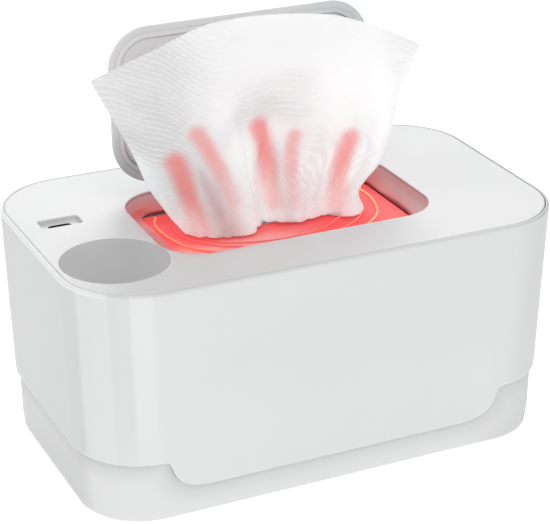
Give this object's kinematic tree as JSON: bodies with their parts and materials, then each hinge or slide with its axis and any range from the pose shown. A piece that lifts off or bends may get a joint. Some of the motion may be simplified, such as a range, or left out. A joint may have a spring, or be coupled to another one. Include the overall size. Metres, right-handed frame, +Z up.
{
  "type": "baby wipe warmer",
  "caption": "Rounded table-top wipe warmer with a hinged loading lid, a heated dispensing well, a flap standing open over it and a wipe pulled up through the slot.",
  "frame": {"origin": "middle of the bounding box, on the surface that the feet stand on", "axes": "+X to the right along the length, +Y to the back where the hinges are, +Z up"},
  "size_m": [0.2, 0.1242, 0.1711],
  "materials": {
    "white_shell": "satin white moulded plastic, fine spark texture",
    "base_plastic": "slightly greyer matte white moulded plastic",
    "inner_plastic": "matte white moulded plastic",
    "flap_grey": "satin light grey plastic",
    "display_grey": "flush grey touch panel, faint sheen",
    "silicone": "translucent grey-white silicone",
    "foot_rubber": "matt grey rubber",
    "steel": "bright zinc or nickel",
    "circuit_board": "green solder mask",
    "black_plastic": "black moulded plastic",
    "wire_jacket": "red silicone wire jacket",
    "heated_plate": "warm red glowing plate",
    "glowing_wire": "glowing orange wire",
    "wipe_fabric": "white embossed non-woven fabric"
  },
  "bodies": {
    "housing": {"upper_housing": "white_shell", "catch_magnet": "steel", "base_tray": "base_plastic", "foot_1": "foot_rubber", "foot_2": "foot_rubber", "foot_3": "foot_rubber", "foot_4": "foot_rubber", "base_screw_1": "steel", "base_screw_2": "steel", "base_screw_3": "steel", "base_screw_4": "steel", "inner_tank": "inner_plastic", "tank_gasket": "silicone", "wipe_stack": "wipe_fabric"},
    "lid": {"lid_panel": "white_shell", "lid_hinge_pin_1": "steel", "lid_hinge_pin_2": "steel", "lid_under_cover": "inner_plastic", "lid_screw_1": "steel", "lid_screw_2": "steel", "lid_screw_3": "steel", "lid_screw_4": "steel", "catch_striker": "steel", "heater_plate": "heated_plate", "heating_wire_outer": "glowing_wire", "heating_wire_middle": "glowing_wire", "heating_wire_inner": "glowing_wire", "display_lens": "display_grey", "digit_module": "black_plastic", "touch_spring": "steel", "display_board": "circuit_board", "control_board": "circuit_board", "usb_shell": "steel", "usb_tongue": "black_plastic", "main_chip": "black_plastic", "power_inductor": "black_plastic", "temperature_sensor": "black_plastic", "thermal_fuse": "steel", "heater_lead_1": "wire_jacket", "heater_lead_2": "wire_jacket", "flap_hinge_pin_1": "steel", "flap_hinge_pin_2": "steel", "wipe_sheet": "wipe_fabric"},
    "flap": {"flap_shell": "flap_grey", "flap_lining": "flap_grey", "flap_seal": "silicone"}
  },
  "joints": [
    {"name": "lid_hinge", "type": "hinge", "parent": "housing", "child": "lid", "pos_m": [0, 0.0601, 0.09335], "axis": [-1, 0, 0], "range_deg": [0, 80]},
    {"name": "flap_hinge", "type": "hinge", "parent": "lid", "child": "flap", "pos_m": [0, 0.03, 0.0956], "axis": [1, 0, 0], "range_deg": [0, 94.1], "deforming": ["wipe_sheet"]}
  ]
}
